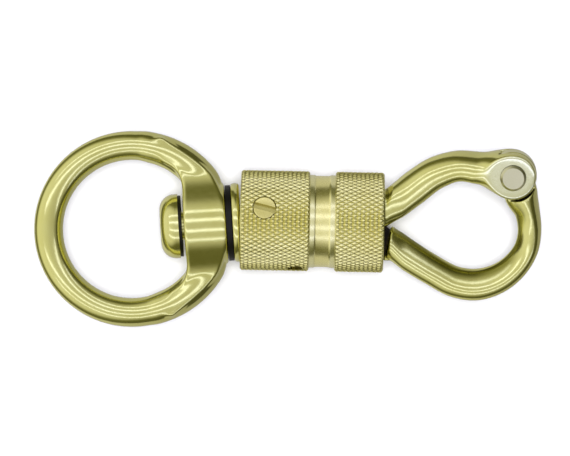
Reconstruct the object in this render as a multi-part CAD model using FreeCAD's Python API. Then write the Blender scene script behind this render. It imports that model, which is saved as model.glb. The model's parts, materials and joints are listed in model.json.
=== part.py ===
import FreeCAD, Part
import math
import os

# Swivel snap shackle in cast and turned brass.
#
# Two working frames are used, both with X along a shaft axis and the centre of
# the swivel's ball nut at x = 0, +X towards the jaw:
#   the body frame  - barrel, fixed arm, gate (jaw plane is its XY plane)
#   the bail frame  - bail, swivel pin and what is screwed on it
# The body is turned about the swivel axis by JAW_ROLL and the bail hangs off
# line by BAIL_LEAN. All of it is then moved so that the bail eye's centre is
# the origin, with the bail's ring in the XY plane. Lengths are in mm.

V = FreeCAD.Vector
X_AXIS = V(1, 0, 0)
Z_AXIS = V(0, 0, 1)

# ---------------------------------------------------------------- driving sizes
JAW_ROLL = 12.0
BAIL_LEAN = 4.66

# bail: a round-bar ring with a bored hub
EYE_X = -26.5               # ring centre, from the ball centre
RING_RADIUS = 16.1          # to the middle of the bar
RING_BAR = 2.8              # bar radius
HUB_RADIUS = 7.7
HUB_BACK = -16.3
HUB_FRONT = -8.2
HUB_ROUNDING = 0.8

# swivel
PIN_RADIUS = 2.8
HEAD_RADIUS = 6.2
HEAD_BACK = -21.0
HEAD_FRONT = -17.4
HEAD_DOME = 2.9             # rounding of the head's rim
BUSH_RADIUS = 4.2
BALL_RADIUS = 4.8
BALL_CUT = 3.8              # where the ball nut is faced off
COLLAR_BACK = -7.1
COLLAR_FRONT = -5.45
LOCK_PIN_RADIUS = 0.75

# barrel
BARREL_RADIUS = 9.65
BARREL_BACK = -5.5
GRIP_END = 7.8              # knurl ends, smooth band begins
BAND_RADIUS = 8.95
BAND_END = 14.0             # hidden end of the band, under the sleeve
SLEEVE_BACK = 12.7
MOUTH = 22.1                # front face of the sleeve
CORE_RADIUS = 6.5
CORE_BACK = -4.4
SLEEVE_TRAVEL = 4.5
SPRING_WIRE = 0.45          # wire radius
SPRING_TURNS = 6

# jaw
HINGE_X = 46.7
HINGE_Y = 10.0
EAR_RADIUS = 4.1
EAR_OUTER = 4.0             # half the fork's full width
KNUCKLE_RADIUS = 4.65
KNUCKLE_HALF = 1.7
HINGE_PIN_RADIUS = 1.6
RIVET_RADIUS = 2.5

# clearances
RUNNING = 0.05              # radial, between parts that turn or slide on each other
FITTED = 0.02               # radial, between parts screwed or pressed together
SIDE_GAP = 0.15             # each side of the gate's knuckle
JOINT_GAP = 0.25            # gate shoulder to fork ears

# grip details
SCREW_X = -0.9
SCREW_ANGLE = 27.0          # from +Z towards +Y
SCREW_RADIUS = 2.2
SPANNER_HOLE_X = 5.2
SPANNER_HOLE_ANGLE = SCREW_ANGLE - 90.0
SPANNER_HOLE_RADIUS = 1.5


# hinge fork, arm and gate, as (x, y, half width, half depth) along each bar
SLOT_RADIUS = 5.0
ARM_STATIONS = [
    (19.6, 0.9, 3.1, 3.9), (22.8, 3.3, 3.25, 3.8), (27.6, 6.9, 3.1, 3.3), (32.2, 10.2, 2.95, 3.0),
    (36.2, 11.6, 2.75, 2.9), (40.5, 11.2, 2.6, 3.1), (43.6, 10.6, 3.1, 3.7), (HINGE_X, HINGE_Y, 3.9, 3.95),
]
GATE_STATIONS = [
    (47.9, 8.2, 3.7, 3.8), (48.7, 5.6, 3.2, 3.7), (49.7, 2.9, 2.45, 3.1), (50.3, -0.9, 2.3, 2.7),
    (49.8, -4.4, 2.35, 2.6), (47.8, -7.8, 2.5, 2.65), (44.3, -10.6, 2.7, 2.7), (40.2, -11.8, 2.85, 2.8),
    (36.1, -11.3, 2.8, 2.8), (31.7, -9.1, 2.75, 2.8), (27.2, -6.4, 2.8, 2.9), (23.3, -3.8, 2.85, 3.0),
    (21.0, -2.3, 2.85, 3.0),
]
SECTION_POINTS = 12
TAIL_FACE = ((22.45, -7.0), (23.6, -0.8))
NOSE_BACK = 21.1
NOSE_TOP = -1.2
NOSE_BOTTOM = -7.6
NOSE_HALF = 1.2
NOSE_RADIUS = 7.3
NOSE_SLOPE = 1.3            # lets the nose leave the lip only while the sleeve moves too
GATE_ROOM_BACK = 20.3
GATE_ROOM_TOP = -0.5
NOSE_CEILING = GATE_ROOM_TOP - JOINT_GAP
FLANGE_BACK = 20.85
FLANGE_RADIUS = 7.3
RIVET_HEIGHT = 0.45

# bail lugs, from the hub to the plain ring, as (angle, radius, half width, half depth) about the eye
LUG_STATIONS = [
    (21, 16.2, 3.8, 3.9), (33, 16.6, 3.6, 3.0), (45, 16.6, 3.1, 2.85),
    (57, 16.45, 2.88, RING_BAR), (69, RING_RADIUS + 0.1, 2.82, RING_BAR),
]
LUG_START = 84              # angle at which the plain ring begins
SADDLE_HOLLOW = 9.5         # radius of the hollow that runs from the hub's side down to the lug
SADDLE_RIM = 18.7           # radius about the eye
SADDLE_INSET = 0.9          # from the hub's faces

# barrel insides
COLLAR_RECESS = 8.35
COLLAR_ROUNDING = 0.3
GLAND_RADIUS = 5.9
GLAND_FRONT = -2.4
GLAND_HOLE = 3.5
SPRING_SEAT = 7.0
SEAT_WASHER = 0.5
SPRING_BORE = 8.2
SKIRT_BORE = BAND_RADIUS + RUNNING
WEB_BACK = 19.6
WEB_FRONT = FLANGE_BACK - RUNNING
LIP_BORE = 7.4
KNURL_CHAMFER = 0.35
HEAD_WASHER = 0.55
HEAD_WASHER_RADIUS = 5.9
THRUST_WASHER_RADIUS = 7.3

# grip screw
SCREW_TOP = 9.4
SCREW_SEAT = 7.6
SCREW_TIP = 5.7
SCREW_POINT = 1.2
SLOT_WIDTH = 1.2
SLOT_DEPTH = 0.8
SLOT_ANGLE = -14.0

LEAN = math.radians(BAIL_LEAN)
TO_ORIGIN = V(-EYE_X * math.cos(LEAN), -EYE_X * math.sin(LEAN), 0)


# ---------------------------------------------------------------------- helpers
def rod(radius, x_from, x_to):
    """Solid cylinder on the X axis."""
    return Part.makeCylinder(radius, x_to - x_from, V(x_from, 0, 0), X_AXIS)


def ring(outer, inner, x_from, x_to):
    """Washer or tube on the X axis."""
    return rod(outer, x_from, x_to).cut(rod(inner, x_from - 1, x_to + 1))


def turned(points):
    """Solid of revolution about X from a closed (x, radius) outline."""
    corners = [V(x, radius, 0) for x, radius in points]
    outline = Part.makePolygon(corners + corners[:1])
    return Part.Face(outline).revolve(V(0, 0, 0), X_AXIS, 360)


def disc(x, y, radius, half):
    """Cylinder across the jaw, centred on the jaw plane."""
    return Part.makeCylinder(radius, 2 * half, V(x, y, -half), Z_AXIS)


def round_rims(shape, radius, x_values):
    """Round the full circular edges that lie at the given x."""
    rims = []
    for edge in shape.Edges:
        box = edge.BoundBox
        if box.XLength < 1e-6 and any(abs(box.XMin - x) < 1e-6 for x in x_values):
            rims.append(edge)
    return shape.makeFillet(radius, rims)


def chamfer_rims(shape, size, rims):
    """Chamfer the circular edges given as (x, radius) pairs."""
    chosen = []
    for edge in shape.Edges:
        for x, radius in rims:
            box = edge.BoundBox
            flat = box.XLength < 1e-6 and abs(box.XMin - x) < 1e-6
            if flat and abs(box.YMax - radius) < 1e-3:
                chosen.append(edge)
    return shape.makeChamfer(size, chosen)


def radial(radius, angle, x, start, end):
    """Cylinder that points out of the barrel at an angle from +Z towards +Y."""
    turn = math.radians(angle)
    out = V(0, math.sin(turn), math.cos(turn))
    return Part.makeCylinder(radius, end - start, V(x, 0, 0) + out * start, out)


def bar(stations):
    """Bent bar through (x, y, half width, half depth) stations in the XY plane."""
    wires = []
    for index, (x, y, width, depth) in enumerate(stations):
        before = stations[max(index - 1, 0)]
        after = stations[min(index + 1, len(stations) - 1)]
        along = V(after[0] - before[0], after[1] - before[1], 0).normalize()
        across = Z_AXIS.cross(along)
        points = []
        for step in range(SECTION_POINTS):
            turn = 2 * math.pi * step / SECTION_POINTS
            points.append(V(x, y, 0) + across * width * math.cos(turn)
                          + Z_AXIS * depth * math.sin(turn))
        oval = Part.BSplineCurve()
        oval.interpolate(points, PeriodicFlag=True)
        wires.append(Part.Wire(oval.toShape()))
    return Part.makeLoft(wires, True, False)


def on_body(shape):
    """Place a shape built in the body frame."""
    placed = shape.copy()
    placed.rotate(V(0, 0, 0), X_AXIS, JAW_ROLL)
    placed.translate(TO_ORIGIN)
    return placed


def on_bail(shape):
    """Place a shape built in the bail frame."""
    placed = shape.copy()
    placed.rotate(V(0, 0, 0), Z_AXIS, BAIL_LEAN)
    placed.translate(TO_ORIGIN)
    return placed


# -------------------------------------------------------------------- bail group
def saddle():
    """Web that carries the hub's round top and underside down to both lugs along hollow curves."""
    side = HUB_RADIUS * math.sqrt(0.5)
    reach = side + SADDLE_HOLLOW * math.sqrt(0.5)
    corners = [(side, side), (side, -side), (-side, -side), (-side, side)]
    edges = []
    for index, (y, z) in enumerate(corners):
        next_y, next_z = corners[(index + 1) % 4]
        if y == next_y:
            foot = reach - SADDLE_HOLLOW
            ease = reach - SADDLE_HOLLOW * math.cos(math.pi / 8)
            lean = reach - SADDLE_HOLLOW * math.sin(math.pi / 8)
            out = math.copysign(1, y)
            up = math.copysign(1, z)
            first = V(0, y, z), V(0, out * lean, up * ease), V(0, out * reach, up * foot)
            last = V(0, out * reach, -up * foot), V(0, out * lean, -up * ease), V(0, next_y, next_z)
            edges.append(Part.Arc(*first).toShape())
            edges.append(Part.makeLine(first[2], last[0]))
            edges.append(Part.Arc(*last).toShape())
        else:
            top = V(0, 0, math.copysign(HUB_RADIUS, z))
            edges.append(Part.Arc(V(0, y, z), top, V(0, next_y, next_z)).toShape())
    face = Part.Face(Part.Wire(edges))
    length = HUB_FRONT - HUB_BACK - 2 * SADDLE_INSET
    web = face.extrude(V(length, 0, 0))
    web.translate(V(HUB_BACK + SADDLE_INSET, 0, 0))
    return web.common(disc(EYE_X, 0, SADDLE_RIM, 2 * HUB_RADIUS))


def bail():
    """Forged ring whose bar swells into two lugs that carry the bored hub."""
    plain = [(angle, RING_RADIUS, RING_BAR, RING_BAR) for angle in range(LUG_START, 361 - LUG_START, 12)]
    lower_lug = [(360 - angle, *rest) for angle, *rest in reversed(LUG_STATIONS)]
    stations = []
    for angle, radius, width, depth in LUG_STATIONS + plain + lower_lug:
        turn = math.radians(angle)
        stations.append((EYE_X + radius * math.cos(turn), radius * math.sin(turn), width, depth))
    hub = rod(HUB_RADIUS, HUB_BACK, HUB_FRONT)
    hub = round_rims(hub, HUB_ROUNDING, [HUB_BACK, HUB_FRONT])
    front = rod(3 * HUB_RADIUS, HUB_FRONT, HUB_FRONT + 5)
    shape = bar(stations).cut(front).fuse([hub, saddle()])
    return shape.cut(rod(BUSH_RADIUS, HUB_BACK - 5, HUB_FRONT + 5))


def swivel_bush():
    return ring(BUSH_RADIUS - FITTED, PIN_RADIUS + RUNNING, HUB_BACK, HUB_FRONT)


def swivel_pin():
    """Domed button head inside the eye and a shank that ends in the ball nut."""
    head = rod(HEAD_RADIUS, HEAD_BACK, HEAD_FRONT)
    head = round_rims(head, HEAD_DOME, [HEAD_BACK])
    shank = rod(PIN_RADIUS, HEAD_FRONT, BALL_CUT)
    shape = head.fuse(shank)
    return shape.cut(lock_pin_hole())


def lock_pin_hole():
    return disc(0, 0, LOCK_PIN_RADIUS + FITTED, 2 * BALL_RADIUS)


def head_washer():
    return ring(HEAD_WASHER_RADIUS, PIN_RADIUS + RUNNING, HEAD_FRONT + FITTED, HEAD_FRONT + HEAD_WASHER)


def thrust_washer():
    return ring(THRUST_WASHER_RADIUS, PIN_RADIUS + RUNNING, HUB_FRONT + RUNNING, COLLAR_BACK - RUNNING)


def swivel_collar():
    """Shoulder ring screwed on the pin; it fills the barrel's rear recess."""
    shape = rod(HUB_RADIUS, COLLAR_BACK, COLLAR_FRONT)
    shape = round_rims(shape, COLLAR_ROUNDING, [COLLAR_BACK, COLLAR_FRONT])
    return shape.cut(rod(PIN_RADIUS + FITTED, COLLAR_BACK - 1, COLLAR_FRONT + 1))


def swivel_nut():
    """Ball nut that lets the pin turn and rock inside the body."""
    ball = Part.makeSphere(BALL_RADIUS)
    ball = ball.common(rod(BALL_RADIUS, -BALL_CUT, BALL_CUT))
    return ball.cut(rod(PIN_RADIUS + FITTED, -BALL_RADIUS, BALL_RADIUS)).cut(lock_pin_hole())


def nut_lock_pin():
    return disc(0, 0, LOCK_PIN_RADIUS, BALL_RADIUS - 0.3)


# -------------------------------------------------------------------- body group
def gland_ring():
    """Ring screwed into the body behind the ball; its spherical seat holds the ball in."""
    shape = rod(GLAND_RADIUS - FITTED, CORE_BACK, GLAND_FRONT)
    seat = Part.makeSphere(BALL_RADIUS + RUNNING)
    return shape.cut(rod(GLAND_HOLE, CORE_BACK - 1, GLAND_FRONT + 1)).cut(seat)


def fork_slot():
    """Room for the gate's knuckle between the ears."""
    return disc(HINGE_X, HINGE_Y, SLOT_RADIUS, KNUCKLE_HALF + SIDE_GAP)


def body():
    """Barrel core, fixed arm and hinge fork in one casting."""
    core = rod(CORE_RADIUS, CORE_BACK, FLANGE_BACK)
    flange = rod(FLANGE_RADIUS, FLANGE_BACK, MOUTH - RUNNING)
    socket = rod(BALL_RADIUS + RUNNING, GLAND_FRONT - 1, 0)
    core = core.fuse(flange).cut(rod(GLAND_RADIUS, CORE_BACK - 1, GLAND_FRONT))
    core = core.cut(socket).cut(Part.makeSphere(BALL_RADIUS + RUNNING))

    arm = bar(ARM_STATIONS)
    arm = arm.cut(ring(30, FLANGE_RADIUS, 0, MOUTH + 0.2)).cut(ring(30, CORE_RADIUS, 0, FLANGE_BACK))
    arm = arm.cut(rod(30, 0, GATE_ROOM_BACK))
    ears = disc(HINGE_X, HINGE_Y, EAR_RADIUS, EAR_OUTER)
    gate_room = Part.makeBox(10, 20, 20, V(GATE_ROOM_BACK, GATE_ROOM_TOP - 20, -10))
    shape = core.fuse([arm, ears]).cut(fork_slot()).cut(gate_room)
    shape = shape.cut(disc(HINGE_X, HINGE_Y, HINGE_PIN_RADIUS + FITTED, 2 * EAR_OUTER))
    return shape.cut(radial(SCREW_POINT + FITTED, SCREW_ANGLE, SCREW_X, SCREW_TIP - FITTED, 20))


def grip_screw():
    """Slotted screw that stops the grip from unscrewing."""
    shape = radial(SCREW_RADIUS, SCREW_ANGLE, SCREW_X, SCREW_SEAT, SCREW_TOP)
    shape = shape.fuse(radial(SCREW_POINT, SCREW_ANGLE, SCREW_X, SCREW_TIP, SCREW_SEAT))
    slot = Part.makeBox(2 * SCREW_RADIUS + 1, SLOT_WIDTH, SLOT_DEPTH + 1,
                        V(-SCREW_RADIUS - 0.5, -SLOT_WIDTH / 2, SCREW_TOP - SLOT_DEPTH))
    slot.rotate(V(0, 0, 0), Z_AXIS, SLOT_ANGLE)
    slot.rotate(V(0, 0, 0), X_AXIS, -SCREW_ANGLE)
    slot.translate(V(SCREW_X, 0, 0))
    return shape.cut(slot)


def rear_grip():
    """Knurled rear half of the barrel with the smooth band the sleeve slides over."""
    shape = turned([
        (BARREL_BACK, COLLAR_RECESS), (BARREL_BACK, BARREL_RADIUS),
        (GRIP_END, BARREL_RADIUS), (GRIP_END, BAND_RADIUS),
        (BAND_END, BAND_RADIUS), (BAND_END, SPRING_BORE),
        (SPRING_SEAT, SPRING_BORE), (SPRING_SEAT, CORE_RADIUS + FITTED),
        (CORE_BACK, CORE_RADIUS + FITTED), (CORE_BACK, COLLAR_RECESS),
    ])
    shape = chamfer_rims(shape, KNURL_CHAMFER, [(BARREL_BACK, BARREL_RADIUS), (GRIP_END, BARREL_RADIUS)])
    shape = shape.cut(radial(SCREW_RADIUS + FITTED, SCREW_ANGLE, SCREW_X, SCREW_SEAT, 20))
    shape = shape.cut(radial(SCREW_POINT + FITTED, SCREW_ANGLE, SCREW_X, SCREW_TIP, 20))
    return shape.cut(radial(SPANNER_HOLE_RADIUS, SPANNER_HOLE_ANGLE, SPANNER_HOLE_X, CORE_RADIUS - 1, 20))


def spring_seat():
    """Flat washer that the spring turns on."""
    inner = CORE_RADIUS + RUNNING
    return ring(SPRING_BORE - RUNNING, inner, SPRING_SEAT, SPRING_SEAT + SEAT_WASHER)


def sleeve_spring():
    """Compression spring around the core, between its seat and the sleeve's web."""
    length = WEB_BACK - SPRING_SEAT - SEAT_WASHER - 2 * SPRING_WIRE - 2 * FITTED
    radius = (CORE_RADIUS + SPRING_BORE) / 2
    slope = math.atan2(length / SPRING_TURNS, 2 * math.pi * radius)
    path = Part.BSplineCurve()
    steps = 24 * SPRING_TURNS
    turns = [2 * math.pi * SPRING_TURNS * step / steps for step in range(steps + 1)]
    rise = length / turns[-1]
    path.interpolate([V(radius * math.cos(turn), radius * math.sin(turn), rise * turn) for turn in turns])
    wire = Part.Wire(Part.makeCircle(SPRING_WIRE, V(radius, 0, 0), V(0, math.cos(slope), math.sin(slope))))
    coil = Part.Wire(path.toShape()).makePipeShell([wire], True, True)
    coil.rotate(V(0, 0, 0), V(0, 1, 0), 90)
    coil.translate(V(SPRING_SEAT + SEAT_WASHER + SPRING_WIRE + FITTED, 0, 0))
    return coil


def hinge_pin():
    """Riveted pin, fixed in the ears."""
    shank = disc(HINGE_X, HINGE_Y, HINGE_PIN_RADIUS, EAR_OUTER + RIVET_HEIGHT)
    heads = []
    for side in (1, -1):
        base = V(HINGE_X, HINGE_Y, side * (EAR_OUTER + FITTED))
        heads.append(Part.makeCone(RIVET_RADIUS, RIVET_RADIUS - RIVET_HEIGHT, RIVET_HEIGHT, base, V(0, 0, side)))
    return shank.fuse(heads)


# ------------------------------------------------------------------ moving parts
def locking_sleeve():
    """Knurled front half of the barrel; its front recess closes over the gate's nose."""
    shape = turned([
        (SLEEVE_BACK, SKIRT_BORE), (SLEEVE_BACK, BARREL_RADIUS),
        (MOUTH, BARREL_RADIUS), (MOUTH, LIP_BORE),
        (WEB_FRONT, LIP_BORE), (WEB_FRONT, CORE_RADIUS + RUNNING),
        (WEB_BACK, CORE_RADIUS + RUNNING), (WEB_BACK, SKIRT_BORE),
    ])
    return chamfer_rims(shape, KNURL_CHAMFER, [(SLEEVE_BACK, BARREL_RADIUS), (MOUTH, BARREL_RADIUS)])


def gate():
    """Hooked gate: knuckle in the fork, nose under the sleeve's lip."""
    shape = bar(GATE_STATIONS)
    shape = shape.cut(disc(HINGE_X, HINGE_Y, EAR_RADIUS + JOINT_GAP, 20))
    low, high = TAIL_FACE
    slant = math.degrees(math.atan2(low[0] - high[0], high[1] - low[1]))
    behind = Part.makeBox(20, 40, 40, V(-20, -20, -20))
    behind.rotate(V(0, 0, 0), Z_AXIS, slant)
    behind.translate(V(low[0], low[1], 0))
    arm_side = Part.makeBox(10, 10, 20, V(TAIL_FACE[1][0] - 8, NOSE_CEILING, -10))
    shape = shape.cut(behind).cut(arm_side)

    nose_length = TAIL_FACE[1][0] + 1 - NOSE_BACK
    nose = Part.makeBox(nose_length, NOSE_TOP - NOSE_BOTTOM, 2 * NOSE_HALF, V(NOSE_BACK, NOSE_BOTTOM, -NOSE_HALF))
    small = NOSE_RADIUS - NOSE_SLOPE * (MOUTH - NOSE_BACK)
    large = small + NOSE_SLOPE * nose_length
    nose = nose.common(Part.makeCone(small, large, nose_length, V(NOSE_BACK, 0, 0), X_AXIS))
    nose = nose.common(rod(NOSE_RADIUS, NOSE_BACK - 1, NOSE_BACK + nose_length + 1))

    knuckle = disc(HINGE_X, HINGE_Y, KNUCKLE_RADIUS, KNUCKLE_HALF)
    shape = shape.fuse([nose, knuckle])
    return shape.cut(disc(HINGE_X, HINGE_Y, HINGE_PIN_RADIUS + RUNNING, 20))


NODES = {
    "bail": (on_bail, bail),
    "swivel_bush": (on_bail, swivel_bush),
    "swivel_pin": (on_bail, swivel_pin),
    "head_washer": (on_bail, head_washer),
    "thrust_washer": (on_bail, thrust_washer),
    "swivel_collar": (on_bail, swivel_collar),
    "swivel_nut": (on_bail, swivel_nut),
    "nut_lock_pin": (on_bail, nut_lock_pin),
    "gland_ring": (on_body, gland_ring),
    "body": (on_body, body),
    "grip_screw": (on_body, grip_screw),
    "rear_grip": (on_body, rear_grip),
    "spring_seat": (on_body, spring_seat),
    "sleeve_spring": (on_body, sleeve_spring),
    "hinge_pin": (on_body, hinge_pin),
    "locking_sleeve": (on_body, locking_sleeve),
    "gate": (on_body, gate),
}

os.makedirs("parts", exist_ok=True)
for node, (place, make) in NODES.items():
    place(make()).exportStep("parts/" + node + ".step")
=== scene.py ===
import json
import math

import bmesh
import bpy
import numpy as np
from mathutils import Matrix, Vector


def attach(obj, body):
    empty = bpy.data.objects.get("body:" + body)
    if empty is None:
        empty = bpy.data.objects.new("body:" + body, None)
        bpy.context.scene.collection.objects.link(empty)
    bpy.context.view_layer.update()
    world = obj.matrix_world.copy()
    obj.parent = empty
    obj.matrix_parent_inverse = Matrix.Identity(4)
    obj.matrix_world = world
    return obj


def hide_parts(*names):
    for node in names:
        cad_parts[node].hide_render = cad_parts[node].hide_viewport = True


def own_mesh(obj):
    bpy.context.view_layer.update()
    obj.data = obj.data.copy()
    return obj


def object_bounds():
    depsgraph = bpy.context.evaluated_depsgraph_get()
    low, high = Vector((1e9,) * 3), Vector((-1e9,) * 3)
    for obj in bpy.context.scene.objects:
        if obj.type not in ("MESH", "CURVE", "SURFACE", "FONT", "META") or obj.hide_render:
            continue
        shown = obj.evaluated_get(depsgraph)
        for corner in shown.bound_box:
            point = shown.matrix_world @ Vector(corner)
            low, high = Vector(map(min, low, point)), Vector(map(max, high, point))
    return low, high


# Visual model of a swivel snap shackle in brass.
#
# Castings (bail, body, gate) are built as smooth distance fields in millimetres
# and meshed. Turned parts are lathe outlines. Both use the working frames of the
# CAD model: X along a shaft axis with the ball nut's centre at x = 0.

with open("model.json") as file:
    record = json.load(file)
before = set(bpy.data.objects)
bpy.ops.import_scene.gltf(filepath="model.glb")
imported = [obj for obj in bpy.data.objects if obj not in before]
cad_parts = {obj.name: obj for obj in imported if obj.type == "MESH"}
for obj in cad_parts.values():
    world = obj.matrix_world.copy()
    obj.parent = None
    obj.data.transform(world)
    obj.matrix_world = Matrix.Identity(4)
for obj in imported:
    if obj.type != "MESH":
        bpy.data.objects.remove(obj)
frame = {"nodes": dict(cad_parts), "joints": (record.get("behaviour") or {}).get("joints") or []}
cad_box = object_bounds()

MM = 0.001
JOINTS = {joint["name"]: joint for joint in frame["joints"]}
PIVOT = Vector(JOINTS["swivel_rock"]["pos_m"])
SWIVEL_AXIS = Vector(JOINTS["bail_swivel"]["axis"])
HINGE = Vector(JOINTS["gate_swing"]["pos_m"])
HINGE_AXIS = Vector(JOINTS["gate_swing"]["axis"])

LEAN = math.atan2(SWIVEL_AXIS.y, SWIVEL_AXIS.x)
ROLL = math.atan2(-HINGE_AXIS.y, HINGE_AXIS.z)
ON_BAIL = Matrix.Translation(PIVOT) @ Matrix.Rotation(LEAN, 4, "Z") @ Matrix.Scale(MM, 4)
ON_BODY = Matrix.Translation(PIVOT) @ Matrix.Rotation(ROLL, 4, "X") @ Matrix.Scale(MM, 4)

# hinge in the body's working frame, in mm
HINGE_X, HINGE_Y, _ = ON_BODY.inverted() @ HINGE

# Sizes in mm. Most are the CAD model's. The barrel is a hair smaller, the flat faces of the ears
# lie further in, and the gate's shoulder stands further off the hinge, clear of the blended ears.
FITTED = 0.02               # gap round a fixed fit
RUNNING = 0.05              # gap round a running fit
EYE_X = -PIVOT.length / MM
RING_RADIUS = 16.1
RING_BAR = 2.8
HUB_RADIUS = 7.7
HUB_BACK = -16.3
HUB_FRONT = -8.2
BUSH_RADIUS = 4.2
CORE_RADIUS = 6.5
CORE_BACK = -4.4
FLANGE_BACK = 20.85
FLANGE_RADIUS = 7.3
MOUTH = 22.1
MOUTH_BORE = 7.4
GLAND_RADIUS = 5.9
GLAND_FRONT = -2.4
BALL_SEAT = 4.85
GATE_ROOM_TOP = -0.5        # the body is cut away below this, for the gate's nose
GATE_ROOM = (20.3, 30.3)
EAR_RADIUS = 4.1
EAR_OUTER = 3.75
EAR_BLEND = 3.0             # widens the ears by about 0.6
KNUCKLE_RADIUS = 4.65
KNUCKLE_HALF = 1.7
SLOT_RADIUS = 5.0
SLOT_HALF = 1.85
SHOULDER_RADIUS = 4.85
HINGE_PIN_RADIUS = 1.6
BARREL_RADIUS = 9.648
BARREL_BACK = -5.5
GRIP_BORE = 8.35
GRIP_END = 7.8
BAND_RADIUS = 8.95
BAND_END = 14.0
BAND_HOLLOW = 8.8
SLEEVE_BACK = 12.7
WEB_BACK = 19.6
WEB_FRONT = 20.8
SPRING_BORE = 8.2
SPRING_SEAT = 7.0
SEAT_WASHER = 0.5
SPRING_WIRE = 0.44
SPRING_TURNS = 5
COLLAR_BACK = -7.1
COLLAR_FRONT = -5.45
PIN_BORE = 2.82
SCREW_X = -0.9
SCREW_ANGLE = math.radians(27.0)
SCREW_RADIUS = 2.2
SCREW_TOP = 9.4
SCREW_SEAT = 7.6
SCREW_TIP = 5.7
SCREW_POINT = 1.2
SCREW_SLOT = 1.2
SLOT_DEPTH = 0.8
SLOT_ANGLE = math.radians(-14)
SPANNER_HOLE_RADIUS = 1.5
SPANNER_HOLE_X = 5.2
SPANNER_HOLE_FLOOR = 5.5
OUTSIDE = 12.0              # beyond the barrel, where the drills start
SPANNER_HOLE_ANGLE = SCREW_ANGLE - math.pi / 2


# ------------------------------------------------------------- distance fields
def soft_min(a, b, size):
    """Union of two fields with a fillet."""
    mix = np.clip(0.5 + 0.5 * (b - a) / size, 0, 1)
    return b + (a - b) * mix - size * mix * (1 - mix)


def soft_max(a, b, size):
    """Intersection of two fields with a rounded edge."""
    return -soft_min(-a, -b, size)


def disc_field(x, y, z, centre, radius, half, edge):
    """Cylinder along Z with softened rims."""
    across = np.hypot(x - centre[0], y - centre[1]) - radius
    return soft_max(across, np.abs(z) - half, edge)


def ramp_up(value, low, high):
    """0 below low, 1 above high, smooth between."""
    t = np.clip((value - low) / (high - low), 0, 1)
    return t * t * (3 - 2 * t)


def smooth_path(stations, count=160):
    """Dense (x, y, half width, half depth) rows on a smooth curve through the stations."""
    points = np.array(stations, float)
    steps = np.hypot(*np.diff(points[:, :2], axis=0).T)
    knots = np.concatenate([[0], np.cumsum(steps)])
    slopes = np.gradient(points, knots, axis=0, edge_order=1)
    wanted = np.linspace(0, knots[-1], count)
    left = np.clip(np.searchsorted(knots, wanted, side="right") - 1, 0, len(knots) - 2)
    span = (knots[left + 1] - knots[left])[:, None]
    t = (wanted - knots[left])[:, None] / span
    rows = points[left] * (1 + 2 * t) * (1 - t) ** 2 + points[left + 1] * t * t * (3 - 2 * t)
    rows += span * (slopes[left] * t * (1 - t) ** 2 + slopes[left + 1] * t * t * (t - 1))
    return rows


def bar_field(x, y, z, path, squareness=2.0, bevel=None):
    """Bent bar along a path in the XY plane; its section is a (super)ellipse.

    A bevel is a share of the half width, and is cut on the right-hand side of the path.
    """
    shape = np.broadcast(x, y).shape
    flat_x = np.broadcast_to(x, shape)
    flat_y = np.broadcast_to(y, shape)
    nearest = np.full(shape, np.inf)
    right = np.zeros(shape)
    width = np.zeros(shape)
    depth = np.zeros(shape)
    for start, end in zip(path[:-1], path[1:]):
        along = end[:2] - start[:2]
        share = ((flat_x - start[0]) * along[0] + (flat_y - start[1]) * along[1]) / (along @ along)
        share = np.clip(share, 0, 1)
        gap = np.hypot(flat_x - start[0] - share * along[0], flat_y - start[1] - share * along[1])
        closer = gap < nearest
        nearest = np.where(closer, gap, nearest)
        beside = along[1] * (flat_x - start[0]) - along[0] * (flat_y - start[1])
        right = np.where(closer, beside / math.sqrt(along @ along), right)
        row_width = start[2] + share * (end[2] - start[2])
        row_depth = start[3] + share * (end[3] - start[3])
        width = np.where(closer, row_width, width)
        depth = np.where(closer, row_depth, depth)
    across = nearest / width
    lift = np.abs(z) / depth
    size = (across ** squareness + lift ** squareness + 1e-9) ** (1 / squareness)
    bar = (size - 1) * np.minimum(width, depth)
    if bevel is None:
        return bar
    return soft_max(bar, 0.66 * right + 0.75 * np.abs(z) - bevel * width, 0.7)


def surface_net(values):
    """Vertices (in grid steps) and quads of the zero surface of a sampled field."""
    inside = values < 0
    shape = values.shape
    cell_ids, crossings, quads_of = [], [], []
    strides = np.array([shape[1] * shape[2], shape[2], 1])
    for axis in range(3):
        first = [slice(None)] * 3
        second = [slice(None)] * 3
        first[axis] = slice(0, -1)
        second[axis] = slice(1, None)
        starts = inside[tuple(first)]
        ends = inside[tuple(second)]
        spots = np.argwhere(starts != ends)
        others = [other for other in range(3) if other != axis]
        room = np.all((spots[:, others] > 0) & (spots[:, others] < np.array(shape)[others] - 1), axis=1)
        spots = spots[room]
        ahead = spots.copy()
        ahead[:, axis] += 1
        low = values[tuple(spots.T)]
        high = values[tuple(ahead.T)]
        crossing = spots.astype(float)
        crossing[:, axis] += low / (low - high)
        one, two = np.zeros(3, int), np.zeros(3, int)
        one[(axis + 1) % 3] = 1
        two[(axis + 2) % 3] = 1
        corners = np.stack([spots @ strides, (spots - one) @ strides,
                            (spots - one - two) @ strides, (spots - two) @ strides], axis=1)
        outward = inside[tuple(spots.T)]
        corners[~outward] = corners[~outward][:, ::-1]
        quads_of.append(corners)
        cell_ids.append(corners.ravel())
        crossings.append(np.repeat(crossing, 4, axis=0))
    flat_ids = np.concatenate(cell_ids)
    _, index = np.unique(flat_ids, return_inverse=True)
    places = np.concatenate(crossings)
    share = np.bincount(index)
    points = np.stack([np.bincount(index, places[:, k]) / share for k in range(3)], axis=1)
    return points, index.reshape(-1, 4)


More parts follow.
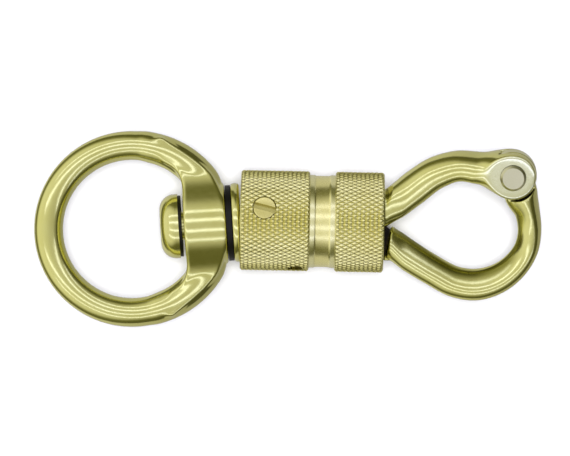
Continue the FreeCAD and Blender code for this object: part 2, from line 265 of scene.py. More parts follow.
def field_mesh(name, field, low, high, step, place, lean=None, projections=3):
    """Mesh of a field's zero surface, its vertices pulled exactly onto the surface."""
    low = np.array(low, float)
    counts = np.ceil((np.array(high, float) - low) / step).astype(int) + 1
    axes = [low[k] + step * np.arange(counts[k]) for k in range(3)]
    x = axes[0][:, None, None]
    y = axes[1][None, :, None]
    z = axes[2][None, None, :]
    values = np.broadcast_to(field(x, y, z), counts)
    points, quads = surface_net(values)
    points = low + points * step
    probe = 0.02
    for _ in range(projections):
        value = field(*points.T)
        slope = np.zeros_like(points)
        for axis in range(3):
            shift = np.zeros(3)
            shift[axis] = probe
            slope[:, axis] = (field(*(points + shift).T) - field(*(points - shift).T)) / (2 * probe)
        size = np.maximum((slope ** 2).sum(1), 0.2)
        move = slope * (value / size)[:, None]
        length = np.sqrt((move ** 2).sum(1))[:, None]
        points = points - move * np.minimum(1, 0.5 * step / np.maximum(length, 1e-9))
    if lean:
        points = lean(points)
    return make_piece(name, points, quads, place)


def make_piece(name, points, faces, place, smooth=True):
    """Object from points in a working frame, placed in the row frame."""
    turned = np.array(place.to_3x3())
    moved = np.asarray(points, float) @ turned.T + np.array(place.translation)
    mesh = bpy.data.meshes.new(name)
    mesh.from_pydata(moved.tolist(), [], [list(map(int, face)) for face in faces])
    mesh.validate()
    mesh.update()
    mesh.polygons.foreach_set("use_smooth", [smooth] * len(mesh.polygons))
    piece = bpy.data.objects.new(name, mesh)
    bpy.context.scene.collection.objects.link(piece)
    return piece


# --------------------------------------------------------------- turned shapes
def softened(outline, radius=0.15, steps=4):
    """Round each corner of a closed (x, radius) outline; a corner may name its own size."""
    corners = [Vector(corner[:2]) for corner in outline]
    sizes = [corner[2] if len(corner) > 2 else radius for corner in outline]
    points = []
    for index, corner in enumerate(corners):
        before = corners[index - 1] - corner
        after = corners[(index + 1) % len(corners)] - corner
        size = min(sizes[index], 0.45 * before.length, 0.45 * after.length)
        start = corner + before.normalized() * size
        end = corner + after.normalized() * size
        for step in range(steps + 1):
            t = step / steps
            points.append(start * (1 - t) ** 2 + corner * 2 * t * (1 - t) + end * t * t)
    return points


def outward(piece):
    """Make all faces look outwards."""
    shape = bmesh.new()
    shape.from_mesh(piece.data)
    bmesh.ops.recalc_face_normals(shape, faces=shape.faces)
    shape.to_mesh(piece.data)
    shape.free()
    return piece


def set_tone(piece, place, tone_of):
    """Store painted light and shade as how dark (-1) or pale (+1) the metal is drawn, from each point and
    normal in a working frame.
    """
    mesh = piece.data
    count = len(mesh.vertices)
    points = np.zeros(count * 3)
    normals = np.zeros(count * 3)
    mesh.vertices.foreach_get("co", points)
    mesh.vertices.foreach_get("normal", normals)
    back = np.array(place.inverted())
    points = points.reshape(-1, 3) @ back[:3, :3].T + back[:3, 3]
    normals = normals.reshape(-1, 3) @ back[:3, :3].T * MM
    tone = mesh.attributes.new("tone", "FLOAT", "POINT")
    tone.data.foreach_set("value", tone_of(points.T, normals.T))


def lathe(name, outline, place, segments=128):
    """Ring-shaped solid turned about X from a closed (x, radius) outline."""
    rows = softened(outline)
    points, faces = [], []
    for step in range(segments):
        turn = 2 * math.pi * step / segments
        for row in rows:
            points.append((row.x, row.y * math.sin(turn), row.y * math.cos(turn)))
    count = len(rows)
    for step in range(segments):
        here = step * count
        ahead = (step + 1) % segments * count
        for row in range(count):
            after = (row + 1) % count
            faces.append((here + row, ahead + row, ahead + after, here + after))
    return outward(make_piece(name, points, faces, place))


def coil(name, start, end, radius, wire, turns, place):
    """Compression spring about X with a closed turn at each end."""
    steps = 32
    sides = 10
    count = steps * (turns + 2)
    turn = np.arange(count + 1) / steps
    closed = 2.02 * wire
    pitch = (end - start - 2 * wire - 2 * closed) / turns
    x = start + wire + closed * np.minimum(turn, 1) + pitch * np.clip(turn - 1, 0, turns)
    x = x + closed * np.clip(turn - 1 - turns, 0, 1)
    angle = 2 * math.pi * turn[:, None]
    side = 2 * math.pi * np.arange(sides)[None, :] / sides
    out = radius + wire * np.cos(side)
    along = x[:, None] + wire * np.sin(side)
    points = np.stack([along, out * np.sin(angle), out * np.cos(angle)], axis=-1)
    faces = []
    for step in range(count):
        for index in range(sides):
            after = (index + 1) % sides
            faces.append((step * sides + index, step * sides + after,
                          (step + 1) * sides + after, (step + 1) * sides + index))
    faces.append(tuple(range(sides)))
    faces.append(tuple(count * sides + index for index in range(sides)))
    return outward(make_piece(name, points.reshape(-1, 3), faces, place))


def shade_by_angle(piece, degrees=35):
    """Keep edges sharper than the angle crisp."""
    mesh = piece.data
    shape = bmesh.new()
    shape.from_mesh(mesh)
    limit = math.radians(degrees)
    for edge in shape.edges:
        edge.smooth = len(edge.link_faces) != 2 or edge.calc_face_angle(0) < limit
    shape.to_mesh(mesh)
    shape.free()


def cut(piece, cutters):
    """Subtract cutter meshes from a piece and delete the cutters."""
    for cutter in cutters:
        modifier = piece.modifiers.new("cut", "BOOLEAN")
        modifier.operation = "DIFFERENCE"
        modifier.solver = "MANIFOLD"
        modifier.object = cutter
    bpy.context.view_layer.update()
    evaluated = piece.evaluated_get(bpy.context.evaluated_depsgraph_get())
    result = bpy.data.meshes.new_from_object(evaluated)
    piece.modifiers.clear()
    piece.data = result
    for cutter in cutters:
        bpy.data.objects.remove(cutter)
    return piece


# ------------------------------------------------------------------- materials
# Colours for painted light and shade on the metal.
SHADE_OLIVE = (0.2, 0.19, 0.016, 1)
SHADOW_BLACK = (0.012, 0.01, 0.008, 1)
HIGHLIGHT_PALE = (0.85, 0.86, 0.55, 1)


def toned(nodes, links, colour):
    """Colour after the "tone" stored on the mesh, which paints light and shade: -1 olive painted shade, -2
    black painted shadow, +1 pale painted highlight.
    """
    tone = nodes.new("ShaderNodeAttribute")
    tone.attribute_name = "tone"
    for low, high, painted_colour in ((0, -1, SHADE_OLIVE), (-1, -2, SHADOW_BLACK), (0, 1, HIGHLIGHT_PALE)):
        share = nodes.new("ShaderNodeMapRange")
        share.inputs["From Min"].default_value = low
        share.inputs["From Max"].default_value = high
        links.new(tone.outputs["Fac"], share.inputs["Value"])
        mix = nodes.new("ShaderNodeMix")
        mix.data_type = "RGBA"
        mix.inputs["B"].default_value = painted_colour
        links.new(share.outputs["Result"], mix.inputs["Factor"])
        links.new(colour, mix.inputs["A"])
        colour = mix.outputs["Result"]
    return colour


def metal(name, colour, shade, roughness, scratch=0.25, crevice_shading=0.35, grain=(1, 1, 1)):
    """Polished metal: cloudy colour, fine drawn scratches, and painted shade that darkens its crevices."""
    material = bpy.data.materials.new(name)
    material.use_nodes = True
    nodes = material.node_tree.nodes
    links = material.node_tree.links
    shader = nodes["Principled BSDF"]
    shader.inputs["Metallic"].default_value = 1.0

    place = nodes.new("ShaderNodeTexCoord")
    stretch = nodes.new("ShaderNodeMapping")
    stretch.inputs["Scale"].default_value = grain
    links.new(place.outputs["Object"], stretch.inputs["Vector"])

    clouds = nodes.new("ShaderNodeTexNoise")
    clouds.inputs["Scale"].default_value = 140
    clouds.inputs["Detail"].default_value = 4
    links.new(place.outputs["Object"], clouds.inputs["Vector"])

    tint = nodes.new("ShaderNodeMix")
    tint.data_type = "RGBA"
    tint.inputs["A"].default_value = (*colour, 1)
    tint.inputs["B"].default_value = (*shade, 1)
    soften = nodes.new("ShaderNodeMapRange")
    soften.inputs["From Min"].default_value = 0.42
    soften.inputs["From Max"].default_value = 0.72
    soften.inputs["To Max"].default_value = 0.6
    links.new(clouds.outputs["Fac"], soften.inputs["Value"])
    links.new(soften.outputs["Result"], tint.inputs["Factor"])

    # Painted shade: dark brown mixed into the colour where ambient occlusion finds crevices.
    crevice = nodes.new("ShaderNodeAmbientOcclusion")
    crevice.inputs["Distance"].default_value = 0.0012
    crevice.samples = 4
    occlusion_darkening = nodes.new("ShaderNodeMapRange")
    occlusion_darkening.inputs["From Min"].default_value = 0.15
    occlusion_darkening.inputs["From Max"].default_value = 0.65
    occlusion_darkening.inputs["To Min"].default_value = crevice_shading
    occlusion_darkening.inputs["To Max"].default_value = 0.0
    links.new(crevice.outputs["AO"], occlusion_darkening.inputs["Value"])
    occlusion_shaded = nodes.new("ShaderNodeMix")
    occlusion_shaded.data_type = "RGBA"
    occlusion_shaded.inputs["B"].default_value = (0.10, 0.07, 0.01, 1)
    links.new(occlusion_darkening.outputs["Result"], occlusion_shaded.inputs["Factor"])
    links.new(toned(nodes, links, tint.outputs["Result"]), occlusion_shaded.inputs["A"])
    links.new(occlusion_shaded.outputs["Result"], shader.inputs["Base Color"])

    lines = nodes.new("ShaderNodeTexNoise")
    lines.inputs["Scale"].default_value = 900
    lines.inputs["Detail"].default_value = 3
    links.new(stretch.outputs["Vector"], lines.inputs["Vector"])
    wear = nodes.new("ShaderNodeMapRange")
    wear.inputs["To Min"].default_value = roughness * 0.75
    wear.inputs["To Max"].default_value = roughness * 1.35
    links.new(lines.outputs["Fac"], wear.inputs["Value"])
    links.new(wear.outputs["Result"], shader.inputs["Roughness"])

    bump = nodes.new("ShaderNodeBump")
    bump.inputs["Strength"].default_value = scratch
    bump.inputs["Distance"].default_value = 0.00003
    links.new(lines.outputs["Fac"], bump.inputs["Height"])
    links.new(bump.outputs["Normal"], shader.inputs["Normal"])
    return material


BRASS = (0.76, 0.74, 0.28)
BRASS_SHADE = (0.70, 0.67, 0.21)
SLOTS = {
    "cast_brass": metal("cast_brass", BRASS, BRASS_SHADE, 0.15, crevice_shading=0.95),
    "turned_brass": metal("turned_brass", BRASS, BRASS_SHADE, 0.14, grain=(6, 1, 1)),
    # The knurled brass is drawn paler than the cast brass, as painted light on the knurl.
    "knurled_brass": metal("knurled_brass", (0.99, 0.93, 0.40), (0.92, 0.84, 0.30), 0.24, crevice_shading=0.4),
    "screw_brass": metal("screw_brass", (0.80, 0.73, 0.27), (0.72, 0.64, 0.19), 0.22),
    "bush_bronze": metal("bush_bronze", (0.55, 0.40, 0.17), (0.40, 0.28, 0.10), 0.3),
    "rivet_metal": metal("rivet_metal", (0.67, 0.65, 0.40), (0.62, 0.60, 0.35), 0.3),
    "washer_steel": metal("washer_steel", (0.03, 0.03, 0.025), (0.02, 0.02, 0.015), 0.45),
    "spring_steel": metal("spring_steel", (0.55, 0.55, 0.54), (0.4, 0.4, 0.39), 0.22),
}


def finish_piece(piece, body, node, slot):
    """Give a piece its material and its body, and hide the CAD node it stands for."""
    piece.data.materials.clear()
    piece.data.materials.append(SLOTS[slot])
    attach(piece, body)
    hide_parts(node)


# ------------------------------------------------------------------------ bail
SADDLE_RIM = 18.8
SADDLE_EDGE = 17.95         # straight edge of the flat lug tops, from the eye
SADDLE_TURN = (0.624, 0.782)      # direction square to that edge, about 51 degrees from X
SADDLE_BLEND = 5.0
LUG_LEVEL = 2.7             # height of the flat lug tops
LUG_START = 2.0             # the lugs and the saddle begin here, ahead of the eye
LUG_OUTER = 18.87           # outer radius of the lugs about the eye, where they leave the ring
LUG_SWELL = 0.075           # its growth per mm towards the barrel


def bail_field(x, y, z):
    """Ring whose bar swells into two lugs, with a saddle between them that carries the hub."""
    x = x - EYE_X
    out = np.hypot(x, y)
    ring = np.hypot(out - RING_RADIUS, z) - RING_BAR

    outer = LUG_OUTER + LUG_SWELL * np.clip(x - 5, 0, 20)
    inner = RING_RADIUS - RING_BAR + 0.35 * np.clip((x - 3) / 5, 0, 1)
    half = (outer - inner) / 2
    lug = (np.sqrt(((out - inner - half) / half) ** 2 + (z / RING_BAR) ** 2) - 1) * RING_BAR
    lug = soft_max(lug, LUG_START - x, 3.0)
    lug = soft_max(lug, x - (HUB_FRONT - EYE_X), 1.6)

    fade = np.clip(7.0 - x, 0, 7)
    level = LUG_LEVEL - 0.1 * fade
    saddle = soft_min(np.hypot(y, z) - HUB_RADIUS, np.abs(z) - level, SADDLE_BLEND)
    back = soft_min(HUB_BACK - EYE_X - x, RING_RADIUS - RING_BAR + 0.9 + 0.35 * fade - out, 2.0)
    edge = SADDLE_TURN[0] * x + SADDLE_TURN[1] * np.abs(y) - SADDLE_EDGE
    rim = soft_max(out - SADDLE_RIM + 0.5 * fade, edge, 0.5)
    front = soft_max(rim, x - (HUB_FRONT - EYE_X - 0.3), 0.5)
    plan = soft_max(soft_max(back, front, 0.5), LUG_START - x, 0.5)
    saddle = soft_max(saddle, plan, 0.7)

    middle = (HUB_BACK + HUB_FRONT) / 2 - EYE_X
    hub = soft_max(np.hypot(y, z) - HUB_RADIUS, np.abs(x - middle) - (HUB_FRONT - HUB_BACK) / 2, 0.6)
    shape = soft_min(soft_min(ring, lug, 0.8), soft_min(saddle, hub, 0.3), 0.35)
    shape = soft_max(shape, x - (HUB_FRONT - EYE_X), 0.2)
    bore = np.where(x > 0, BUSH_RADIUS - np.hypot(y, z), -1.0)
    return soft_max(shape, bore, 0.25)


# ------------------------------------------------------------------------ body
JAW_SKEW = 0.28             # sideways lean of the jaw bars' sections


def skewed(points):
    """Lean the bars' sections towards -Y as they rise, clear of the hinge and the barrel."""
    x, y, z = points.T
    share = ramp_up(x, 23.0, 26.5) * ramp_up(np.hypot(x - HINGE_X, y - HINGE_Y), 4.4, 8.0)
    return np.stack([x, y - JAW_SKEW * share * z, z], axis=1)


ARM = smooth_path([
    (18.0, -0.5, 2.8, 3.6), (22.8, 3.1, 2.95, 3.7), (27.6, 6.8, 3.0, 3.3), (32.2, 10.1, 2.8, 3.05),
    (36.2, 11.4, 2.6, 2.95), (40.2, 11.1, 2.8, 3.2), (43.2, 10.7, 3.5, 3.6), (HINGE_X, HINGE_Y, 3.75, 3.75),
])


def body_field(x, y, z):
    """Barrel core, arm and fork."""
    turned = np.hypot(y, z)
    core = np.maximum(turned - CORE_RADIUS, np.maximum(CORE_BACK - x, x - FLANGE_BACK))
    flange = np.maximum(turned - FLANGE_RADIUS, np.maximum(FLANGE_BACK - x, x - (MOUTH - RUNNING)))
    core = np.minimum(core, flange)
    bore = np.maximum(turned - GLAND_RADIUS, x - GLAND_FRONT)
    seat = np.maximum(turned - BALL_SEAT, x)
    ball = np.sqrt(x * x + y * y + z * z) - BALL_SEAT
    core = np.maximum(core, -np.minimum(bore, np.minimum(seat, ball)))

    arm = bar_field(x, y, z, ARM, 2.3)
    ears = disc_field(x, y, z, (HINGE_X, HINGE_Y), EAR_RADIUS, EAR_OUTER, 0.5)
    arm = soft_min(arm, ears, EAR_BLEND)
    arm = soft_max(arm, np.abs(z) - EAR_OUTER, 0.4)
    inside = np.where(x < FLANGE_BACK, turned - CORE_RADIUS, turned - FLANGE_RADIUS)
    arm = np.where(x < MOUTH + 0.2, np.maximum(arm, inside), arm)
    shape = soft_min(core, arm, 0.5)
    gate_room = np.maximum(y - GATE_ROOM_TOP, np.maximum(GATE_ROOM[0] - x, x - GATE_ROOM[1]))
    shape = np.maximum(shape, -gate_room)
    slot = disc_field(x, y, z, (HINGE_X, HINGE_Y), SLOT_RADIUS, SLOT_HALF, 0.05)
    shape = soft_max(shape, -slot, 0.3)
    pin = HINGE_PIN_RADIUS + FITTED - np.hypot(x - HINGE_X, y - HINGE_Y)
    return np.maximum(shape, pin)


# ------------------------------------------------------------------------ gate
GATE = smooth_path([
    (47.6, 8.8, 3.4, 3.6), (48.6, 5.7, 3.2, 3.7), (49.7, 2.9, 2.5, 3.2), (50.3, -0.9, 2.3, 2.7),
    (49.8, -4.4, 2.35, 2.6), (47.8, -7.8, 2.5, 2.65), (44.3, -10.6, 2.7, 2.7), (40.2, -11.8, 2.85, 2.8),
    (36.1, -11.3, 2.8, 2.8), (31.7, -9.1, 2.75, 2.8), (27.2, -6.4, 2.8, 2.9), (23.3, -3.8, 2.85, 3.0),
    (19.0, -0.9, 2.85, 3.0),
])


JAW_MIDDLE = (38.0, 0.0)
GATE_BEVEL = 0.93           # distance of the inner bevel from the bar's middle, in half widths
FACE_X, FACE_Y = 22.45, -7.0      # lower edge of the flat end of the hook, at the sleeve's mouth
FACE_TURN = (0.983, 0.182)  # direction square to that flat end
HOOK_TOP = -0.75
HOOK_TIP = 24.0             # the hook's top is cut level up to here
NOSE = (21.1, 24.6)
NOSE_TOP = -0.55
NOSE_BOTTOM = -7.6
NOSE_HALF = 1.2
NOSE_RADIUS = 7.3           # about the barrel's axis, under the sleeve's lip
NOSE_SLOPE_X = 22.7         # where the nose's top starts to slope down


def gate_field(x, y, z):
    """Hooked gate with a knuckle at one end and a nose at the other."""
    hook = bar_field(x, y, z, GATE, 2.2, GATE_BEVEL)
    away = np.hypot(x - HINGE_X, y - HINGE_Y)
    shoulder = np.minimum(SHOULDER_RADIUS - away, np.abs(z) - KNUCKLE_HALF)
    hook = soft_max(hook, shoulder, 0.2)
    face = (FACE_X - x) * FACE_TURN[0] + (y - FACE_Y) * FACE_TURN[1]
    hook = soft_max(hook, face, 0.5)
    hook = np.maximum(hook, np.where(x < HOOK_TIP, y - HOOK_TOP, -1e3))
    turned = np.hypot(y, z)
    nose = np.maximum(np.maximum(NOSE[0] - x, x - NOSE[1]), np.maximum(y - NOSE_TOP, NOSE_BOTTOM - y))
    nose = np.maximum(nose, np.abs(z) - NOSE_HALF)
    nose = np.maximum(nose, 0.75 * (y - NOSE_TOP + 0.85 * (x - NOSE_SLOPE_X)))
    nose = np.maximum(nose, turned - NOSE_RADIUS + np.maximum(0, 1.3 * (MOUTH - x)))
    knuckle = disc_field(x, y, z, (HINGE_X, HINGE_Y), KNUCKLE_RADIUS, KNUCKLE_HALF, 0.35)
    shape = np.minimum(soft_min(hook, knuckle, 0.15), nose)
    return np.maximum(shape, HINGE_PIN_RADIUS + RUNNING - away)


# ----------------------------------------------------------------------- screw
ON_SCREW = (ON_BODY @ Matrix.Rotation(-SCREW_ANGLE, 4, "X") @ Matrix.Translation((SCREW_X, 0, 0))
            @ Matrix.Rotation(-math.pi / 2, 4, "Y"))


def slot_cutter():
    """Bar that cuts the screw's slot."""
    mesh = bpy.data.meshes.new("slot_cutter")
    shape = bmesh.new()
    bmesh.ops.create_cube(shape, size=1)
    size = Matrix.Diagonal((2, SCREW_SLOT, 3 * SCREW_RADIUS, 1))
    turn = Matrix.Rotation(SLOT_ANGLE, 4, "X")
    shape.transform(ON_SCREW @ Matrix.Translation((SCREW_TOP - SLOT_DEPTH + 1, 0, 0)) @ turn @ size)
    shape.to_mesh(mesh)
    shape.free()
    cutter = bpy.data.objects.new("slot_cutter", mesh)
    bpy.context.scene.collection.objects.link(cutter)
    return cutter


# ---------------------------------------------------------------------- knurl
DIAMONDS = 64               # around the barrel
DIAMOND_LENGTH = 1.65
KNURL_DEPTH = 0.27
PER_DIAMOND = 12
KNURL_CREST = 0.3           # share of a diamond that is left flat


def knurl_depth(along, around):
    """Depth below the crest of crossed helical grooves; arguments count diamonds."""
    one = np.abs((along + around) % 1 - 0.5) * 2
    two = np.abs((along - around) % 1 - 0.5) * 2
    grooves = np.maximum(one, two)
    return KNURL_DEPTH * np.clip((grooves - KNURL_CREST) / (1 - KNURL_CREST), 0, 1)


def knurled(name, start, end, inner, place, ends=(0.35, 0.35)):
    """Tube with a diamond knurl from start to end; inner is the rest of its outline."""
    rows = int(round((end - start) / DIAMOND_LENGTH * PER_DIAMOND))
    x = np.linspace(start, end, rows + 1)
    around = np.arange(DIAMONDS * PER_DIAMOND) / PER_DIAMOND
    turn = around * 2 * math.pi / DIAMONDS
    depth = knurl_depth(x[:, None] / DIAMOND_LENGTH, around[None, :])
    bevel = np.maximum(ends[0] - (x - start), 0) + np.maximum(ends[1] - (end - x), 0)
    radius = BARREL_RADIUS - np.maximum(depth, bevel[:, None])
    rest = softened(inner, 0.12, 3)
    columns = len(turn)
    points = []
    for row in range(rows + 1):
        ring_points = np.stack([np.full(columns, x[row]), radius[row] * np.sin(turn),
                                radius[row] * np.cos(turn)], axis=1)
        points.append(ring_points)
    for corner in rest:
        points.append(np.stack([np.full(columns, corner.x), corner.y * np.sin(turn),
                                corner.y * np.cos(turn)], axis=1))
    total = rows + 1 + len(rest)
    index = np.arange(total * columns).reshape(total, columns)
    here, ahead = index, np.roll(index, -1, axis=0)
    faces = np.stack([here, ahead, np.roll(ahead, -1, axis=1), np.roll(here, -1, axis=1)], axis=-1)
    return make_piece(name, np.concatenate(points), faces.reshape(-1, 4), place)


def drill(radius, x, angle, start, end):
    """Cutter cylinder that points out of the barrel at an angle from +Z towards +Y."""
    mesh = bpy.data.meshes.new("drill")
    shape = bmesh.new()
    bmesh.ops.create_cone(shape, cap_ends=True, segments=96, radius1=radius, radius2=radius,
                          depth=end - start)
    middle = Matrix.Translation((x, 0, (start + end) / 2))
    shape.transform(ON_BODY @ Matrix.Rotation(-angle, 4, "X") @ middle)
    shape.to_mesh(mesh)
    shape.free()
    cutter = bpy.data.objects.new("drill", mesh)
    bpy.context.scene.collection.objects.link(cutter)
    return cutter


# ---------------------------------------------------------------------- tones
def ear_tone(point, normal):
    """Painted highlight: the flat faces of the ears are drawn paler than the bars."""
    away = np.hypot(point[0] - HINGE_X, point[1] - HINGE_Y)
    return 0.9 * (1 - ramp_up(away, 3.4, 7.5)) * ramp_up(np.abs(normal[2]), 0.75, 0.97)


def gate_tone(point, normal):
    """Painted shadow drawn black on the nose, and painted shade along the bevel inside the hook."""
    x, y, _ = point
    nose = 1 - ramp_up((x - FACE_X) * FACE_TURN[0] - (y - FACE_Y) * FACE_TURN[1], -0.15, 0.1)
    inward = np.stack([JAW_MIDDLE[0] - x, JAW_MIDDLE[1] - y])
    inward = (inward * normal[:2]).sum(0) / np.hypot(*inward)
    bevel = ramp_up(inward, 0.48, 0.68) * (1 - ramp_up(inward, 0.85, 0.97)) * ramp_up(-x, -49.5, -46)
    bevel = bevel * ramp_up(np.hypot(x - HINGE_X, y - HINGE_Y), 6.0, 9.0)
    return -np.maximum(2 * nose, 0.85 * bevel)


def knurl_tone(point, normal):
    """Painted shade in the knurl's grooves, and painted highlights along the margins of the smooth band."""
    x, y, z = point
    out = np.hypot(y, z)
    groove_shade = ramp_up(BARREL_RADIUS - out, 0.12, KNURL_DEPTH) * (out > BARREL_RADIUS - KNURL_DEPTH - 0.02)
    aside = np.abs(x - (GRIP_END + SLEEVE_BACK) / 2)
    rim_highlight = (x > GRIP_END) * (x < SLEEVE_BACK) * ramp_up(aside, 1.35, 1.6)
    return np.where(out > BAND_RADIUS + 0.1, -0.65 * groove_shade, 0.4 * rim_highlight)


def slot_tone(point, normal):
    """Painted shade: the screw's slot and sides are drawn darker than its top."""
    return -0.3 * ramp_up(SCREW_TOP - point[0], 0.3, 0.5)


# --------------------------------------------------------------------- pieces
bail = field_mesh("ring_bail", bail_field, (-47, -20.5, -8.2), (-7.5, 20.5, 8.2), 0.22, ON_BAIL)
finish_piece(bail, "bail", "bail", "cast_brass")

body = field_mesh("arm_and_core", body_field, (-5, -8, -8), (52, 15.5, 8), 0.2, ON_BODY, skewed)
finish_piece(body, "barrel", "body", "cast_brass")
set_tone(body, ON_BODY, ear_tone)

gate = field_mesh("hook_gate", gate_field, (20, -16, -5), (54, 15.5, 5), 0.2, ON_BODY, skewed)
finish_piece(gate, "gate", "gate", "cast_brass")
set_tone(gate, ON_BODY, gate_tone)

grip = knurled("knurled_grip", BARREL_BACK, GRIP_END, [
    (GRIP_END, BAND_RADIUS, 0.4), (GRIP_END + 0.9, BAND_RADIUS, 0.3), (GRIP_END + 1.15, BAND_HOLLOW, 0.3),
    (SLEEVE_BACK - 1.15, BAND_HOLLOW, 0.3), (SLEEVE_BACK - 0.9, BAND_RADIUS, 0.3),
    (BAND_END, BAND_RADIUS), (BAND_END, SPRING_BORE),
    (SPRING_SEAT, SPRING_BORE), (SPRING_SEAT, CORE_RADIUS + FITTED), (CORE_BACK, CORE_RADIUS + FITTED),
    (CORE_BACK, GRIP_BORE), (BARREL_BACK, GRIP_BORE)], ON_BODY)
cut(grip, [
    drill(SCREW_RADIUS + 0.08, SCREW_X, SCREW_ANGLE, SCREW_SEAT, OUTSIDE),
    drill(SPANNER_HOLE_RADIUS, SPANNER_HOLE_X, SPANNER_HOLE_ANGLE, SPANNER_HOLE_FLOOR, OUTSIDE)])
shade_by_angle(grip)
finish_piece(grip, "barrel", "rear_grip", "knurled_brass")
set_tone(grip, ON_BODY, knurl_tone)

sleeve = knurled("knurled_sleeve", SLEEVE_BACK, MOUTH, [
    (MOUTH, MOUTH_BORE), (WEB_FRONT, MOUTH_BORE),
    (WEB_FRONT, CORE_RADIUS + RUNNING), (WEB_BACK, CORE_RADIUS + RUNNING),
    (WEB_BACK, BAND_RADIUS + RUNNING), (SLEEVE_BACK, BAND_RADIUS + RUNNING)], ON_BODY)
shade_by_angle(sleeve)
finish_piece(sleeve, "sleeve", "locking_sleeve", "knurled_brass")
set_tone(sleeve, ON_BODY, knurl_tone)

screw = lathe("slotted_screw", [
    (SCREW_TIP, 0.02, 0.01), (SCREW_TIP, SCREW_POINT), (SCREW_SEAT, SCREW_POINT),
    (SCREW_SEAT, SCREW_RADIUS), (SCREW_TOP, SCREW_RADIUS, 0.25), (SCREW_TOP, 0.02, 0.01)], ON_SCREW, 96)
cut(screw, [slot_cutter()])
shade_by_angle(screw)
set_tone(screw, ON_SCREW, slot_tone)
finish_piece(screw, "barrel", "grip_screw", "screw_brass")

collar = lathe("turned_collar", [
    (COLLAR_BACK, PIN_BORE), (COLLAR_BACK, HUB_RADIUS - 0.25, 0.5),
    ((COLLAR_BACK + COLLAR_FRONT) / 2, HUB_RADIUS, 0.5),
    (COLLAR_FRONT, HUB_RADIUS - 0.25, 0.5), (COLLAR_FRONT, PIN_BORE)], ON_BAIL)
shade_by_angle(collar)
finish_piece(collar, "swivel", "swivel_collar", "turned_brass")

spring_start = SPRING_SEAT + SEAT_WASHER
spring = coil("coil_spring", spring_start + FITTED, WEB_BACK - FITTED,
              (CORE_RADIUS + SPRING_BORE) / 2, SPRING_WIRE, SPRING_TURNS, ON_BODY)
finish_piece(spring, "barrel", "sleeve_spring", "spring_steel")
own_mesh(spring)

KEPT = {
    "swivel_pin": "turned_brass", "swivel_nut": "turned_brass",
    "gland_ring": "turned_brass", "swivel_bush": "bush_bronze", "head_washer": "washer_steel",
    "thrust_washer": "washer_steel", "spring_seat": "washer_steel", "nut_lock_pin": "spring_steel",
    "hinge_pin": "rivet_metal",
}
for node, slot in KEPT.items():
    mesh = frame["nodes"][node].data
    mesh.materials.clear()
    mesh.materials.append(SLOTS[slot])


# ----------------------------------------------------------------------- scene
# The tent's grey from straight below (0) to straight above (1): position, level, blue.
TENT = [
    (0.0, 0.5, 0.5), (0.43, 0.58, 0.55), (0.47, 0.1, 0.05), (0.69, 0.15, 0.06), (0.80, 0.5, 0.44),
    (0.88, 0.66, 0.62), (1.0, 0.64, 0.62),
]
BACKDROP = (0.93, 0.93, 0.93, 1)
TABLE_WHITE = (0.9, 0.9, 0.9, 1)
TABLE_HALF = 1.5            # m
TABLE_GAP = 0.0002          # m below the object's lowest point
LAMP_COLOUR = (0.82, 0.86, 1.6)
LAMP_DISTANCE = 0.7         # m
LAMP_LENGTH = 1.4           # m
VIEW_MIDDLE = Vector((3.1, -1.4, 0)) * MM       # from the swivel's pivot
VIEW_WIDTH = 0.11           # m
VIEW_TURN = math.radians(1.1)
CAMERA_DISTANCE = 1.0       # m


def strip_light(name, middle, tilt, width, radiance):
    """Long light tube parallel to the object; tilt is in degrees from overhead towards +Y."""
    turn = math.radians(tilt)
    light = bpy.data.lights.new(name, "AREA")
    light.shape = "RECTANGLE"
    light.size = LAMP_LENGTH
    light.size_y = 2 * LAMP_DISTANCE * math.tan(math.radians(width / 2))
    light.energy = radiance * math.pi * light.size * light.size_y
    light.color = LAMP_COLOUR
    lamp = bpy.data.objects.new(name, light)
    lamp.location = middle + Vector((0, math.sin(turn), math.cos(turn))) * LAMP_DISTANCE
    lamp.rotation_euler = (-turn, 0, 0)
    lamp.visible_camera = False
    bpy.context.scene.collection.objects.link(lamp)


def maths(tree, operation, *values):
    """Math node's result; each value is a number or another node's output."""
    node = tree.nodes.new("ShaderNodeMath")
    node.operation = operation
    for socket, value in zip(node.inputs, values):
        if isinstance(value, bpy.types.NodeSocket):
            tree.links.new(value, socket)
        else:
            socket.default_value = value
    return node.outputs["Value"]


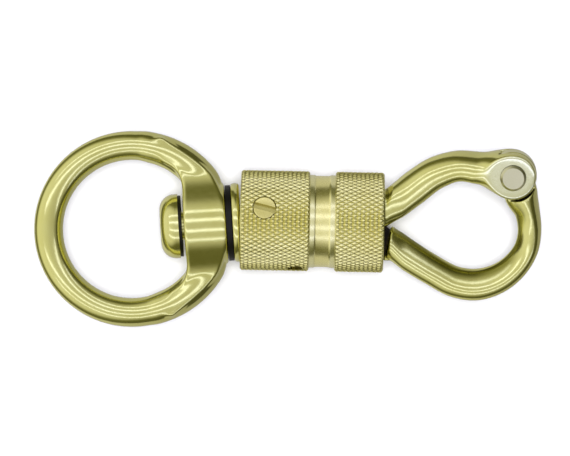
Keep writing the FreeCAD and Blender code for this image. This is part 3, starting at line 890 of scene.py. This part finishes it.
def studio_world():
    """Soft grey tent with a dark band above the horizon; the camera itself sees a pale backdrop."""
    world = bpy.data.worlds.new("studio")
    bpy.context.scene.world = world
    world.use_nodes = True
    tree = world.node_tree
    tent = tree.nodes["Background"]
    place = tree.nodes.new("ShaderNodeTexCoord")
    parts = tree.nodes.new("ShaderNodeSeparateXYZ")
    tree.links.new(place.outputs["Generated"], parts.inputs["Vector"])
    behind = maths(tree, "MINIMUM", parts.outputs["X"], 0.0)
    lift = maths(tree, "MULTIPLY_ADD", behind, -0.8, parts.outputs["Z"])
    height = maths(tree, "MULTIPLY_ADD", lift, 0.5, 0.5)
    slant = maths(tree, "MULTIPLY_ADD", parts.outputs["X"], -0.4, 1.0)
    ramp = tree.nodes.new("ShaderNodeValToRGB")
    tree.links.new(height, ramp.inputs["Fac"])
    tree.links.new(ramp.outputs["Color"], tent.inputs["Color"])
    tree.links.new(slant, tent.inputs["Strength"])
    stops = ramp.color_ramp.elements
    stops[1].position = TENT[-1][0]
    for position, _, _ in TENT[1:-1]:
        stops.new(position)
    for stop, (position, level, blue) in zip(stops, TENT):
        stop.position = position
        stop.color = (level, level * 0.98, blue, 1)
    backdrop = tree.nodes.new("ShaderNodeBackground")
    backdrop.inputs["Color"].default_value = BACKDROP
    seen = tree.nodes.new("ShaderNodeLightPath")
    mix = tree.nodes.new("ShaderNodeMixShader")
    tree.links.new(seen.outputs["Is Camera Ray"], mix.inputs["Fac"])
    tree.links.new(tent.outputs["Background"], mix.inputs[1])
    tree.links.new(backdrop.outputs["Background"], mix.inputs[2])
    tree.links.new(mix.outputs["Shader"], tree.nodes["World Output"].inputs["Surface"])


def table():
    """Plain pale floor under the object."""
    height = cad_box[0][2] - TABLE_GAP
    ways = [(-1, -1), (1, -1), (1, 1), (-1, 1)]
    corners = [(TABLE_HALF * across, TABLE_HALF * along, height) for across, along in ways]
    mesh = bpy.data.meshes.new("table")
    mesh.from_pydata(corners, [], [(0, 1, 2, 3)])
    top = bpy.data.objects.new("table", mesh)
    bpy.context.scene.collection.objects.link(top)
    paint = bpy.data.materials.new("table_white")
    paint.use_nodes = True
    shader = paint.node_tree.nodes["Principled BSDF"]
    shader.inputs["Base Color"].default_value = TABLE_WHITE
    shader.inputs["Roughness"].default_value = 0.9
    mesh.materials.append(paint)
    top.visible_glossy = False


def camera_and_lights():
    """Camera square above the flat object, four long soft lamps, and a sun that lights the table."""
    middle = PIVOT + VIEW_MIDDLE
    data = bpy.data.cameras.new("camera")
    data.sensor_width = 36
    data.lens = data.sensor_width * CAMERA_DISTANCE / VIEW_WIDTH
    camera = bpy.data.objects.new("camera", data)
    camera.location = middle + Vector((0, 0, CAMERA_DISTANCE))
    camera.rotation_euler = (0, 0, VIEW_TURN)
    bpy.context.scene.collection.objects.link(camera)
    bpy.context.scene.camera = camera
    strip_light("lamp_back", middle, 38, 6, 1.02)
    strip_light("lamp_upper", middle, 13, 8, 1.1)
    strip_light("lamp_lower", middle, -16, 7, 1.1)
    strip_light("lamp_front", middle, -42, 6, 1.02)
    sun = bpy.data.lights.new("floor_sun", "SUN")
    sun.energy = 2.6
    sun.angle = math.radians(20)
    overhead = bpy.data.objects.new("floor_sun", sun)
    overhead.visible_glossy = False
    bpy.context.scene.collection.objects.link(overhead)
    bpy.context.scene.view_settings.view_transform = "Standard"


studio_world()
table()
camera_and_lights()
